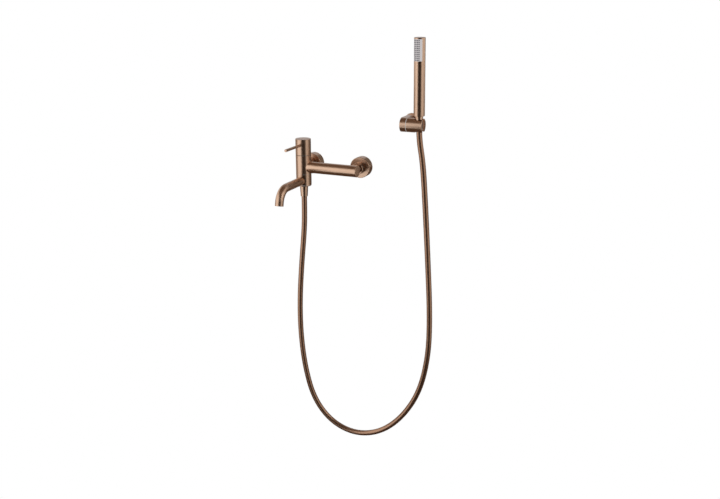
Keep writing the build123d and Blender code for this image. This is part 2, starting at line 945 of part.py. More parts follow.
def shower_hose():
    corners = [Vector(*point) for point in hose_route]
    radii = []
    for before, corner, after in zip(corners, corners[1:], corners[2:]):
        first = corner - before
        second = after - corner
        shorter = min(first.length, second.length)
        turn = math.radians(first.get_angle(second))
        radii.append(hose_radius_share * shorter / math.tan(turn / 2))
    path = FilletPolyline(*hose_route, radius=radii)
    start = Plane(corners[0], x_dir=(1, 0, 0), z_dir=corners[1] - corners[0])
    section = start * (Circle(hose_radius) - Circle(hose_bore_radius))
    hose = sweep(section, path)
    area = math.pi * (hose_radius**2 - hose_bore_radius**2)
    print("hose arc radii", [round(radius) for radius in radii])
    share = hose.volume / area / path.length
    print("hose length", round(path.length, 1), "volume over section times length", round(share, 5))
    return hose


def upper_hose_nut():
    """Long cone that screws on the hand shower inside its skirt and sits in the holder."""
    flange = upper_nut_step - washer_thickness - seat_gap - tail_flange
    lip = flange - seat_gap
    points = [
        (spigot_radius + thread_gap, upper_nut_top),
        (upper_nut_top_radius, upper_nut_top),
        (upper_nut_top_radius, upper_nut_step),
        (upper_nut_neck_radius, upper_nut_neck),
        (upper_nut_end_radius, -upper_nut_bottom),
        (nut_bore_radius, -upper_nut_bottom),
        (nut_bore_radius, lip),
        (tail_flange_radius + thread_gap, lip),
        (tail_flange_radius + thread_gap, upper_nut_step),
        (spigot_radius + thread_gap, upper_nut_step),
    ]
    return handset_frame * turned(points)


def upper_hose_washer():
    return handset_frame * hose_washer(upper_nut_step - washer_thickness)


def upper_hose_tail():
    flange = upper_nut_step - washer_thickness - seat_gap - tail_flange
    return handset_frame * hose_tail(flange, upper_tail_end, upper_tail_end - tail_tongue_length)


def lower_hose_tail():
    washer, flange, end = lower_levels()
    return column * hose_tail(flange, end, end - tail_tongue_length)


# Hand shower, in its own frame: Z along its axis, zero at the holder's axis

def sector(inner, outer, low, high, half_angle):
    """Part of a tube that faces where the spray faces."""
    corners = [(inner, 0, low), (outer, 0, low), (outer, 0, high), (inner, 0, high)]
    face = make_face(Polyline(*corners, close=True))
    wedge = revolve(face, Axis.Z, revolution_arc=2 * half_angle)
    return Rot(Z=-90 - spray_turn - half_angle) * wedge


def handset_tube():
    low = handset_start
    points = [
        (handset_bore, low),
        (handset_radius - handset_edge, low),
        (handset_radius, low + handset_edge),
        (handset_radius, handset_end - edge),
        (handset_radius - edge, handset_end),
        (handset_bore, handset_end),
    ]
    shell = turned(points)
    reach = handset_radius + overrun
    low = spray_low - spray_gap
    window = sector(handset_bore - edge, reach, low, spray_high + spray_gap, spray_half_angle + spray_gap)
    return handset_frame * (shell - window)


def handset_core():
    """Plastic water way inside the metal tube, open behind the spray face."""
    low = connector_start + connector_length + seat_gap
    high = handset_end - end_cap - seat_gap
    points = [
        (core_radius - core_wall, low),
        (core_radius, low),
        (core_radius, high),
        (0, high),
        (0, high - core_wall),
        (core_radius - core_wall, high - core_wall),
    ]
    shell = turned(points)
    margin = 2 * core_wall
    inner = core_radius - core_wall - edge
    narrow = spray_half_angle * (1 - core_wall / core_radius)
    window = sector(inner, core_radius + overrun, spray_low + margin, spray_high - margin, narrow)
    return handset_frame * (shell - window)


def handset_connector():
    top = connector_start + connector_length
    spigot_low = connector_start - connector_spigot
    groove = top - connector_length / 2
    depth = 2 * handset_ring_wire
    points = [
        (connector_bore_radius, spigot_low),
        (spigot_radius - edge, spigot_low),
        (spigot_radius, spigot_low + edge),
        (spigot_radius, connector_start),
        (connector_radius, connector_start),
        (connector_radius, groove - handset_ring_wire),
        (connector_radius - depth, groove - handset_ring_wire),
        (connector_radius - depth, groove + handset_ring_wire),
        (connector_radius, groove + handset_ring_wire),
        (connector_radius, top),
        (connector_bore_radius, top),
    ]
    return handset_frame * turned(points)


def handset_o_ring():
    groove = connector_start + connector_length / 2
    middle = connector_radius - handset_ring_wire
    return handset_frame * ring(middle, handset_ring_wire - seat_gap, groove)


def flow_restrictor():
    low = connector_start - connector_spigot + seat_gap
    outer = connector_bore_radius - seat_gap
    return handset_frame * tube(outer, restrictor_bore_radius, low, low + restrictor_length)


def handset_end_cap():
    return handset_frame * rod(handset_bore - seat_gap, handset_end - end_cap, handset_end)


def spray_face():
    """Soft curved nozzle plate, flush with the tube, with rows of small nozzles."""
    shell = sector(handset_bore + seat_gap, handset_radius, spray_low, spray_high, spray_half_angle)
    middle = (spray_low + spray_high) / 2
    nozzles = []
    nozzle = rod(nozzle_radius, handset_radius - edge, handset_radius + nozzle_height, Axis.X)
    drill = rod(nozzle_hole_radius, handset_bore - edge, handset_radius + overrun, Axis.X)
    drills = []
    for column_number in range(spray_columns):
        offset = (column_number - (spray_columns - 1) / 2) * spray_column_angle
        turn = Rot(Z=offset - 90 - spray_turn)
        for row in range(spray_rows):
            height = middle + (row - (spray_rows - 1) / 2) * spray_row_pitch
            place = turn * Pos(0, 0, height)
            nozzles.append(place * nozzle)
            drills.append(place * drill)
    return handset_frame * (shell + nozzles - drills)


# Wall holder

def holder_barrel():
    """Swivelling barrel with a leaning bore for the nut and a slot that lets the hose in."""
    left = barrel_left - handset_x
    right = barrel_right - handset_x
    points = [
        (0, left),
        (holder_radius, left),
        (holder_radius, right - barrel_edge),
        (holder_radius - barrel_edge, right),
        (0, right),
    ]
    barrel = turned(points, Axis.X)
    reach = holder_radius + overrun
    barrel -= rod(bore_radius, -reach, reach)
    half = hose_slot / 2
    barrel -= block((0, right + overrun), (-half, half), (-reach, reach))
    shoulder = pivot_screw_places()[0] - handset_x
    barrel -= rod(pivot_screw_radius + running_gap, left - overrun, shoulder + overrun, Axis.X)
    barrel -= rod(pivot_screw_head_radius + body_gap, shoulder, 0, Axis.X)
    return handset_frame * barrel


def pivot_screw_places():
    """Places along X of the barrel's shoulder, the screw head's seat and its end."""
    end = handset_x - bore_radius - edge
    seat = end - pivot_screw_head
    return seat - spring_washer - seat_gap, seat, end


def holder_liner():
    """Plastic cone between the nut and the barrel, with the same slot."""
    slope = (upper_nut_neck_radius - upper_nut_end_radius) / (upper_nut_neck + upper_nut_bottom)
    top_radius = upper_nut_end_radius + slope * (liner_half_height + upper_nut_bottom) + body_gap
    low_radius = upper_nut_end_radius + slope * (upper_nut_bottom - liner_half_height) + body_gap
    points = [
        (low_radius, -liner_half_height),
        (liner_radius, -liner_half_height),
        (liner_radius, liner_half_height),
        (top_radius, liner_half_height),
    ]
    half = hose_slot / 2
    slot = block((0, liner_radius + overrun), (-half, half), (-holder_radius, holder_radius))
    return handset_frame * (turned(points) - slot)


def holder_friction_ring():
    outer = holder_radius - friction_ring_inset
    inner = pivot_screw_radius + running_gap
    return Pos(0, holder_y, holder_z) * tube(outer, inner, block_right, block_right + friction_ring, Axis.X)


def holder_pivot_screw():
    shoulder, seat, end = pivot_screw_places()
    screw = rod(pivot_screw_radius, seat - pivot_screw_shank, seat, Axis.X)
    screw += rod(pivot_screw_head_radius, seat, end, Axis.X)
    socket = hexagon(2 * pivot_socket, 0, pivot_screw_head)
    screw -= Pos(end - pivot_screw_head / 2, 0, 0) * Rot(Y=90) * socket
    return Pos(0, holder_y, holder_z) * screw


def pivot_spring_washer():
    shoulder, seat, end = pivot_screw_places()
    hole = pivot_screw_radius + body_gap
    washer = tube(pivot_screw_head_radius, hole, shoulder, shoulder + spring_washer, Axis.X)
    return Pos(0, holder_y, holder_z) * washer


def bracket_block():
    """Round-nosed block between the wall plate and the barrel."""
    nose = rod(holder_radius, holder_left, block_right, Axis.X)
    back = holder_reach - plate_thickness - seat_gap
    body = nose + block((holder_left, block_right), (0, back), (-holder_radius, holder_radius))
    half_width = lug_width / 2 + pocket_gap
    half_height = pocket_height / 2
    pocket_x = (block_x - half_width, block_x + half_width)
    body -= block(pocket_x, (back - pocket_depth, back + overrun), (-half_height, half_height))
    shank_end = pivot_screw_places()[1] - pivot_screw_shank
    body -= rod(pivot_screw_radius + seat_gap, shank_end - seat_gap, block_right + overrun, Axis.X)
    grub = Pos(block_x, holder_reach - plate_thickness - bracket_grub_depth, 0)
    body -= grub * rod(grub_radius + seat_gap, -holder_radius - overrun, -half_height + overrun)
    return Pos(0, holder_y, holder_z) * body


def bracket_wall_plate():
    points = [
        (0, 0),
        (plate_radius, 0),
        (plate_radius, plate_edge - plate_thickness),
        (plate_radius - plate_edge, -plate_thickness),
        (0, -plate_thickness),
    ]
    plate = turned(points, Axis.Y)
    half_width = lug_width / 2
    half_height = lug_height / 2
    lug_end = -plate_thickness - lug_length
    plate += block((-half_width, half_width), (lug_end, -plate_thickness), (-half_height, half_height))
    for side in (-1, 1):
        place = Pos(0, 0, side * wall_screw_spacing / 2)
        plate -= place * wall_screw_hole()
    return Pos(block_x, 0, holder_z) * plate


def wall_screw_hole():
    """Countersunk hole, wide enough to let the thread through."""
    face = -plate_thickness
    wide = wall_screw_head_radius + seat_gap
    narrow = wall_screw_radius + seat_gap
    neck = face + wide - narrow
    return turned([(0, face), (wide, face), (narrow, neck), (narrow, overrun), (0, overrun)], Axis.Y)


def bracket_wall_screws():
    """Countersunk screws with a thin neck, their heads level with the plate."""
    face = -plate_thickness
    neck = face + wall_screw_head_radius - wall_screw_neck_radius
    end = face + wall_screw_length
    points = [
        (0, face),
        (wall_screw_head_radius, face),
        (wall_screw_neck_radius, neck),
        (wall_screw_neck_radius, wall_screw_neck_length),
        (wall_screw_radius, wall_screw_neck_length),
        (wall_screw_radius, end),
        (0, end),
    ]
    screw = turned(points, Axis.Y)
    half = wall_screw_slot / 2
    cut = (face - overrun, face + wall_screw_slot)
    slot = block((-half, half), cut, (-wall_screw_radius, wall_screw_radius))
    screw -= [slot, Rot(Y=90) * slot]
    places = [Pos(block_x, 0, holder_z + side * wall_screw_spacing / 2) for side in (-1, 1)]
    return Compound([place * screw for place in places])


def bracket_grub_screw():
    """Clamps the block on the plate's lug from below."""
    top = holder_z - lug_height / 2 - seat_gap
    length = holder_radius - lug_height / 2 - edge
    place = Pos(block_x, -plate_thickness - bracket_grub_depth, top) * Rot(X=180)
    return place * grub_screw(length)


pieces = {
    "union_left": union(0),
    "union_right": union(inlet_spacing),
    "union_nut_left": union_nut(0),
    "union_nut_right": union_nut(inlet_spacing),
    "inlet_seals": inlet_seals(),
    "inlet_check_valve_left": inlet_check_valve(0),
    "inlet_check_valve_right": inlet_check_valve(inlet_spacing),
    "rosette_left": rosette(0),
    "rosette_right": rosette(inlet_spacing),
    "mixer_body": mixer_body(),
    "bar_end_plug": bar_end_plug(),
    "bar_plug_ring": bar_plug_ring(),
    "cartridge_base": cartridge_base(),
    "cartridge_port_seals": cartridge_port_seals(),
    "fixed_disc": fixed_disc(),
    "moving_disc": moving_disc(),
    "disc_carrier": disc_carrier(),
    "cartridge_housing": cartridge_housing(),
    "cartridge_nut": cartridge_nut(),
    "cartridge_guide": cartridge_guide(),
    "stem_pin": stem_pin(),
    "cartridge_stem": cartridge_stem(),
    "handle_cap": handle_cap(),
    "lever_rod": lever_rod(),
    "handle_grub_screw": handle_grub_screw(),
    "handle_screw_plug": handle_screw_plug(),
    "spout_slide_rings": spout_slide_rings(),
    "spout_o_rings": spout_o_rings(),
    "spout_collar": spout_collar(),
    "diverter_sleeve": diverter_sleeve(),
    "spout_tube": spout_tube(),
    "aerator_housing": aerator_housing(),
    "aerator_insert": aerator_insert(),
    "aerator_seal": aerator_seal(),
    "shower_outlet": shower_outlet(),
    "outlet_check_valve": outlet_check_valve(),
    "lower_hose_nut": lower_hose_nut(),
    "lower_hose_washer": column * hose_washer(lower_levels()[0]),
    "lower_hose_tail": lower_hose_tail(),
    "shower_hose": shower_hose(),
    "upper_hose_nut": upper_hose_nut(),
    "upper_hose_washer": upper_hose_washer(),
    "upper_hose_tail": upper_hose_tail(),
    "handset_tube": handset_tube(),
    "handset_core": handset_core(),
    "handset_connector": handset_connector(),
    "handset_o_ring": handset_o_ring(),
    "flow_restrictor": flow_restrictor(),
    "handset_end_cap": handset_end_cap(),
    "spray_face": spray_face(),
    "holder_barrel": holder_barrel(),
    "holder_liner": holder_liner(),
    "holder_friction_ring": holder_friction_ring(),
    "holder_pivot_screw": holder_pivot_screw(),
    "pivot_spring_washer": pivot_spring_washer(),
    "bracket_block": bracket_block(),
    "bracket_wall_plate": bracket_wall_plate(),
    "bracket_wall_screws": bracket_wall_screws(),
    "bracket_grub_screw": bracket_grub_screw(),
}

for name, shape in pieces.items():
    save(name, shape)
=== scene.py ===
import math

import bpy
import numpy as np
from mathutils import Matrix, Vector


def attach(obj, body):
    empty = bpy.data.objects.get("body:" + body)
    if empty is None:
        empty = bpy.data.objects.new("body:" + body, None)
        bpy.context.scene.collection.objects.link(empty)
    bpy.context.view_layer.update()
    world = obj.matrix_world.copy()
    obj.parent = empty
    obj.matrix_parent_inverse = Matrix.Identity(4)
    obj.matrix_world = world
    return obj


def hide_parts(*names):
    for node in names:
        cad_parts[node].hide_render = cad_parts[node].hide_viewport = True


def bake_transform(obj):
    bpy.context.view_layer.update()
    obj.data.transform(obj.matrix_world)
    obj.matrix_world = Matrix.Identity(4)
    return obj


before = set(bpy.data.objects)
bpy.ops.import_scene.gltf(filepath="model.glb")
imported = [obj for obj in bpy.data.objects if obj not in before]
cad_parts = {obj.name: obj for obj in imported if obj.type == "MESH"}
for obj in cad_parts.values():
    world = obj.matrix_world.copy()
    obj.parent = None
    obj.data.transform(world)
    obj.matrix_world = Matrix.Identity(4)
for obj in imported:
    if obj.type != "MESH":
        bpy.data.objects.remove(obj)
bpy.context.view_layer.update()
scene = bpy.context.scene
scene.view_settings.view_transform = "Standard"


# Camera. It stands to the right of the mixer and looks 18 degrees down. The lens was
# chosen, and place and turn were fitted to the photograph with that lens.
camera_place = (1.01902, -2.03515, 0.47884)
azimuth = math.radians(23.3356)
pitch = math.radians(17.9598)
level_share = math.cos(pitch)
forward = Vector((-math.sin(azimuth) * level_share, math.cos(azimuth) * level_share, -math.sin(pitch)))
right = Vector((math.cos(azimuth), math.sin(azimuth), 0))
up = right.cross(forward)
camera_data = bpy.data.cameras.new("camera")
camera_data.lens = 40
camera_data.sensor_width = 36
camera_data.clip_start = 0.05
camera_data.clip_end = 50
camera = bpy.data.objects.new("camera", camera_data)
turn = Matrix((right, up, -forward)).transposed().to_4x4()
camera.matrix_world = Matrix.Translation(camera_place) @ turn
scene.collection.objects.link(camera)
scene.camera = camera


# Wall unions. Two machined brass unions screw into the wall's pipes and end in a
# threaded head for the nut. Rubber seals lie between them and the body, and white
# plastic non-return cartridges sit in the body's bosses.
def new_group(name, inputs, outputs):
    """Empty shader group with the inputs, their starting values and the outputs given."""
    group = bpy.data.node_groups.new(name, "ShaderNodeTree")
    for label, kind, value in inputs:
        socket = group.interface.new_socket(label, in_out="INPUT", socket_type=kind)
        socket.default_value = value
    for label, kind in outputs:
        group.interface.new_socket(label, in_out="OUTPUT", socket_type=kind)
    return group, group.nodes.new("NodeGroupInput"), group.nodes.new("NodeGroupOutput")


def brushed_group():
    """Grain of a brushed finish. A fine noise is drawn out into streaks along the directions whose
    stretch factor is small, and a coarse noise gives clouds. Their sum, less its mean, times Tone
    changes the colour, and times Spread the roughness. Height is the streaks alone."""
    group, given, result = new_group(
        "brushed grain",
        [
            ("Vector", "NodeSocketVector", (0, 0, 0)),
            ("Stretch", "NodeSocketVector", (1, 1, 1)),
            ("Color", "NodeSocketColor", (0.5, 0.35, 0.26, 1)),
            ("Tone", "NodeSocketFloat", 0.1),
            ("Roughness", "NodeSocketFloat", 0.25),
            ("Spread", "NodeSocketFloat", 0.06),
        ],
        [("Color", "NodeSocketColor"), ("Roughness", "NodeSocketFloat"), ("Height", "NodeSocketFloat")],
    )
    mean_of_both = 1.0
    unchanged = 1.0
    nodes = group.nodes
    links = group.links
    stretch = nodes.new("ShaderNodeVectorMath")
    stretch.operation = "MULTIPLY"
    links.new(given.outputs["Vector"], stretch.inputs[0])
    links.new(given.outputs["Stretch"], stretch.inputs[1])
    streaks = nodes.new("ShaderNodeTexNoise")
    streaks.inputs["Scale"].default_value = 1000
    streaks.inputs["Detail"].default_value = 3
    links.new(stretch.outputs[0], streaks.inputs["Vector"])
    clouds = nodes.new("ShaderNodeTexNoise")
    clouds.inputs["Scale"].default_value = 25
    clouds.inputs["Detail"].default_value = 4
    links.new(given.outputs["Vector"], clouds.inputs["Vector"])
    both = nodes.new("ShaderNodeMath")
    both.operation = "ADD"
    links.new(streaks.outputs["Fac"], both.inputs[0])
    links.new(clouds.outputs["Fac"], both.inputs[1])
    centred = nodes.new("ShaderNodeMath")
    centred.operation = "SUBTRACT"
    links.new(both.outputs[0], centred.inputs[0])
    centred.inputs[1].default_value = mean_of_both
    toned = nodes.new("ShaderNodeMath")
    toned.operation = "MULTIPLY_ADD"
    links.new(centred.outputs[0], toned.inputs[0])
    links.new(given.outputs["Tone"], toned.inputs[1])
    toned.inputs[2].default_value = unchanged
    tint = nodes.new("ShaderNodeVectorMath")
    tint.operation = "SCALE"
    links.new(given.outputs["Color"], tint.inputs[0])
    links.new(toned.outputs[0], tint.inputs["Scale"])
    links.new(tint.outputs[0], result.inputs["Color"])
    rough = nodes.new("ShaderNodeMath")
    rough.operation = "MULTIPLY_ADD"
    links.new(centred.outputs[0], rough.inputs[0])
    links.new(given.outputs["Spread"], rough.inputs[1])
    links.new(given.outputs["Roughness"], rough.inputs[2])
    links.new(rough.outputs[0], result.inputs["Roughness"])
    links.new(streaks.outputs["Fac"], result.inputs["Height"])
    return group


grain = brushed_group()


def material(
    name,
    color,
    roughness,
    metallic,
    stretch=(1, 1, 1),
    tone=0.1,
    spread=0.05,
    bump=0.004,
    use_uv=False,
):
    """Principled material whose colour, roughness and bump come from the shared grain, which reads
    the piece's Object coordinates, or its own UV map where use_uv is true."""
    made = bpy.data.materials.new(name)
    made.use_nodes = True
    nodes = made.node_tree.nodes
    links = made.node_tree.links
    shader = nodes["Principled BSDF"]
    shader.inputs["Metallic"].default_value = metallic
    place = nodes.new("ShaderNodeTexCoord")
    group = nodes.new("ShaderNodeGroup")
    group.node_tree = grain
    links.new(place.outputs["UV" if use_uv else "Object"], group.inputs["Vector"])
    group.inputs["Stretch"].default_value = stretch
    group.inputs["Color"].default_value = (*color, 1)
    group.inputs["Tone"].default_value = tone
    group.inputs["Roughness"].default_value = roughness
    group.inputs["Spread"].default_value = spread
    links.new(group.outputs["Color"], shader.inputs["Base Color"])
    links.new(group.outputs["Roughness"], shader.inputs["Roughness"])
    relief = nodes.new("ShaderNodeBump")
    relief.inputs["Strength"].default_value = bump
    relief.inputs["Distance"].default_value = 0.0002
    links.new(group.outputs["Height"], relief.inputs["Height"])
    links.new(relief.outputs["Normal"], shader.inputs["Normal"])
    return made


def dress(finish, *solids):
    """Gives each solid named one finish, in place of the one that it was packed with."""
    for solid in solids:
        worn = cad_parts[solid].data.materials
        worn.clear()
        worn.append(finish)


brass = material("machined brass", (0.72, 0.56, 0.3), roughness=0.22, metallic=1.0, stretch=(0.3, 1.0, 0.3))
rubber = material("black rubber", (0.03, 0.03, 0.03), roughness=0.6, metallic=0.0)
white_plastic = material("white plastic", (0.8, 0.8, 0.78), roughness=0.4, metallic=0.0, tone=0.04)
dress(brass, "union_left", "union_right")
dress(rubber, "inlet_seals")
dress(white_plastic, "inlet_check_valve_left", "inlet_check_valve_right")


# Union nuts and rosettes. They are turned from brass, brushed round an axis that comes
# out of the wall, and coated bronze. The nuts pull the body on the unions, and the deep
# round rosettes cover the holes in the tiles.
bronze = (0.595, 0.396, 0.274)
outward = material(
    "bronze brushed round an axis out of the wall",
    bronze,
    roughness=0.3,
    metallic=1.0,
    stretch=(0.15, 1.0, 0.15),
)
dress(outward, "union_nut_left", "union_nut_right", "rosette_left", "rosette_right")


# Mixer body. The upright column, the level bar and the two bosses for the nuts are one
# brass casting, brushed and coated bronze. A plug that is faced on the lathe closes the
# bar's free end, with a rubber ring behind it.
upright = material(
    "bronze brushed round an upright axis",
    bronze,
    roughness=0.3,
    metallic=1.0,
    stretch=(0.15, 0.15, 1.0),
)
faced = material("bronze faced on the lathe", bronze, roughness=0.5, metallic=1.0)
dress(upright, "mixer_body")
dress(faced, "bar_end_plug")
dress(rubber, "bar_plug_ring")


# Cartridge. White moulded plastic parts hold two ground ceramic discs. A steel stem on
# a steel pin moves the upper disc, and a brass nut clamps the cartridge in the column.
ceramic = material("ground ceramic", (0.86, 0.84, 0.8), roughness=0.2, metallic=0.0, tone=0.03)
steel = material("stainless steel", (0.6, 0.6, 0.61), roughness=0.25, metallic=1.0)
dress(white_plastic, "cartridge_base", "disc_carrier", "cartridge_housing", "cartridge_guide")
dress(rubber, "cartridge_port_seals")
dress(ceramic, "fixed_disc", "moving_disc")
dress(steel, "stem_pin", "cartridge_stem")
dress(brass, "cartridge_nut")


# Handle. A brushed bronze cap covers the cartridge and carries a thin level rod. A steel
# grub screw fixes the cap on the stem, and a small bronze plug hides the screw.
dress(upright, "handle_cap", "handle_screw_plug")
dress(outward, "lever_rod")
dress(steel, "handle_grub_screw")


# Spout. A bronze collar turns round the column's foot on plastic rings and rubber
# seals, with a plastic sleeve in it that opens and closes the way. Its pipe is bent from
# tube, and a grey plastic insert in the mouth shapes the jet.
bent = material(
    "bronze brushed along a bent pipe",
    bronze,
    roughness=0.36,
    metallic=1.0,
    stretch=(0.15, 1.0, 0.15),
    tone=0.05,
    spread=0.03,
    bump=0.001,
)
grey_plastic = material("grey plastic", (0.3, 0.29, 0.28), roughness=0.45, metallic=0.0, tone=0.06)
dress(upright, "spout_collar", "aerator_housing")
dress(bent, "spout_tube")
dress(white_plastic, "spout_slide_rings", "diverter_sleeve")
dress(rubber, "spout_o_rings", "aerator_seal")
dress(grey_plastic, "aerator_insert")


# Shower outlet and hose ends. The bronze outlet screws into the body's foot and holds a
# non-return cartridge. At each end of the hose a bronze cone nut covers a brass tail and
# a rubber washer.
dress(upright, "shower_outlet", "lower_hose_nut", "upper_hose_nut")
dress(white_plastic, "outlet_check_valve")
dress(rubber, "lower_hose_washer", "upper_hose_washer")
dress(brass, "lower_hose_tail", "upper_hose_tail")


# Hose. A smooth bronze plastic hose that hangs from the mixer's outlet in one long
# loop and comes up to the hand shower's nut. It is drawn through points that were
# chosen along the photograph's line.
hose_points = [
    (0.0, -0.072, -0.064),
    (0.0, -0.072, -0.104),
    (-0.0015, -0.0721, -0.170),
    (-0.0135, -0.0724, -0.284),
    (-0.0218, -0.0728, -0.396),
    (-0.0216, -0.0728, -0.502),
    (-0.0095, -0.0722, -0.614),
    (0.0175, -0.071, -0.714),
    (0.073, -0.0686, -0.782),
    (0.1505, -0.0654, -0.8095),
    (0.231, -0.0618, -0.789),
    (0.299, -0.0586, -0.7275),
    (0.353, -0.0564, -0.632),
    (0.3768, -0.0554, -0.512),
    (0.3776, -0.0553, -0.387),
    (0.3675, -0.0556, -0.228),
    (0.3552, -0.056, -0.058),
    (0.3465, -0.0564, 0.044),
    (0.3346, -0.05772, 0.10893),
    (0.3346, -0.05929, 0.1449),
]
hose_diameter = 0.0155
hose_girth = 0.0487
hose_sides = 32


def smooth_line(name, points):
    """Points along the NURBS line of order 3 that has the given points as its control points."""
    line = bpy.data.curves.new(name, "CURVE")
    line.dimensions = "3D"
    line.resolution_u = 24
    spline = line.splines.new("NURBS")
    spline.points.add(len(points) - 1)
    for point, place in zip(spline.points, points):
        point.co = (*place, 1)
    spline.order_u = 3
    spline.use_endpoint_u = True
    carrier = bpy.data.objects.new(name, line)
    scene.collection.objects.link(carrier)
    bpy.context.view_layer.update()
    evaluated = carrier.evaluated_get(bpy.context.evaluated_depsgraph_get())
    traced = bpy.data.meshes.new_from_object(evaluated)
    along = np.empty(len(traced.vertices) * 3, dtype=np.float32)
    traced.vertices.foreach_get("co", along)
    bpy.data.objects.remove(carrier)
    bpy.data.meshes.remove(traced)
    return along.reshape(-1, 3).astype(float)


def tube_rings(line_points, radius, sides):
    """Rings round a line. A ring's corner is the line's point plus the radius times the cosine and the
    sine of the way round, along two directions that lie across the line."""
    direction = np.gradient(line_points, axis=0)
    direction /= np.linalg.norm(direction, axis=1)[:, None]
    side = np.cross(direction, (0.0, 1.0, 0.0))
    side /= np.linalg.norm(side, axis=1)[:, None]
    other = np.cross(direction, side)
    angle = np.linspace(0, 2 * np.pi, sides, endpoint=False)
    ring = side[:, None, :] * np.cos(angle)[None, :, None]
    ring = ring + other[:, None, :] * np.sin(angle)[None, :, None]
    return line_points[:, None, :] + radius * ring


def ring_faces(rings, sides):
    """Quads between neighbouring rings: corner k and the next one round, with the same two of the ring
    after. The last corner of a ring is followed by its first."""
    ring = np.arange(rings - 1)[:, None] * sides
    step = np.arange(sides)[None, :]
    after = (step + 1) % sides
    quads = [ring + step, ring + after, ring + sides + after, ring + sides + step]
    return np.stack(quads, axis=-1).reshape(-1, 4)


def smooth_mesh(name, corners, faces):
    """Mesh from an array of corners and an array of quads, shaded smooth."""
    mesh = bpy.data.meshes.new(name)
    mesh.from_pydata(corners.tolist(), [], faces.tolist())
    mesh.polygons.foreach_set("use_smooth", np.ones(len(faces), dtype=bool))
    return mesh


def unroll(mesh, run, sides, girth):
    """UV map of a tube, in metres: u is the length run along it, v the share of the way round it
    times its girth."""
    ring = np.repeat(np.arange(len(run) - 1), sides)
    way = np.tile(np.arange(sides), len(run) - 1)
    u = np.stack([run[ring], run[ring], run[ring + 1], run[ring + 1]], axis=1)
    v = np.stack([way, way + 1, way + 1, way], axis=1) * girth / sides
    layer = mesh.uv_layers.new(name="along")
    layer.data.foreach_set("uv", np.stack([u, v], axis=-1).reshape(-1).astype(np.float32))
    mesh.update()


centre = smooth_line("hose line", hose_points)
steps = np.linalg.norm(np.diff(centre, axis=0), axis=1)
run = np.concatenate([[0], np.cumsum(steps)])
hose_material = material(
    "bronze hose",
    (0.38, 0.22, 0.14),
    roughness=0.3,
    metallic=0.95,
    stretch=(0.1, 1.0, 1.0),
    tone=0.06,
    use_uv=True,
)
hose_corners = tube_rings(centre, hose_diameter / 2, hose_sides).reshape(-1, 3)
hose_mesh = smooth_mesh("hose", hose_corners, ring_faces(len(centre), hose_sides))
unroll(hose_mesh, run, hose_sides, hose_girth)
hose_mesh.materials.append(hose_material)
hose = bpy.data.objects.new("hose", hose_mesh)
scene.collection.objects.link(hose)
dress(upright, "shower_hose")
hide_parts("shower_hose")
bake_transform(hose)


# Hand shower. A bronze-coated tube, closed by a cap, holds a white plastic water way and
# a flow restrictor, and a brass connector with a rubber ring takes the hose's nut. The
# spray face is a pad of pale grey silicone.
silicone = material("pale grey silicone", (0.66, 0.62, 0.62), roughness=0.45, metallic=0.0, tone=0.04)
dress(upright, "handset_tube", "handset_end_cap")
dress(white_plastic, "handset_core", "flow_restrictor")
dress(brass, "handset_connector")
dress(rubber, "handset_o_ring")
dress(silicone, "spray_face")


# Spray nozzles. Eleven rows of four dark grey silicone cones stand a little proud of the
# spray face, each with its own small mouth. They are soft, so that a finger rubbed over
# them breaks the lime off.
nozzle_rows = 11
nozzle_columns = 4
nozzle_sides = 14
nozzle_pitch_mm = 4.85
middle_nozzle_height_mm = 193.0
nozzle_spacing_degrees = 17.4
spray_heading_degrees = -104.3
# Radius, and distance from the hand shower's axis, from the cone's foot into its mouth
nozzle_profile_mm = np.array(
    [(1.6, 14.7), (1.4, 15.2), (1.2, 15.42), (0.5, 15.42), (0.4, 15.0), (0.0, 14.95)]
)
mm_per_metre = 1000
handset_lean = math.radians(2.5)
handset_seat = np.array([0.3346, -0.0592, 0.1429])


def nozzle_corners():
    """A corner is the distance from the axis along the nozzle's own heading, plus its radius times the
    cosine of the way round along the direction across, plus its row's height and its radius times the
    sine upwards. All are then leaned like the hand shower and put on its seat."""
    column = np.arange(nozzle_columns) - (nozzle_columns - 1) / 2
    row = np.arange(nozzle_rows) - (nozzle_rows - 1) / 2
    heading = np.radians(column * nozzle_spacing_degrees + spray_heading_degrees)[:, None, None, None]
    height = (middle_nozzle_height_mm + row * nozzle_pitch_mm)[None, :, None, None]
    radius = nozzle_profile_mm[:, 0][None, None, :, None]
    reach = nozzle_profile_mm[:, 1][None, None, :, None]
    angle = np.linspace(0, 2 * np.pi, nozzle_sides, endpoint=False)[None, None, None, :]
    x = reach * np.cos(heading) - radius * np.cos(angle) * np.sin(heading)
    y = reach * np.sin(heading) + radius * np.cos(angle) * np.cos(heading)
    z = height + radius * np.sin(angle)
    x, y, z = np.broadcast_arrays(x, y, z)
    leaned_y = y * math.cos(handset_lean) - z * math.sin(handset_lean)
    leaned_z = y * math.sin(handset_lean) + z * math.cos(handset_lean)
    return np.stack([x, leaned_y, leaned_z], axis=-1).reshape(-1, 3) / mm_per_metre + handset_seat


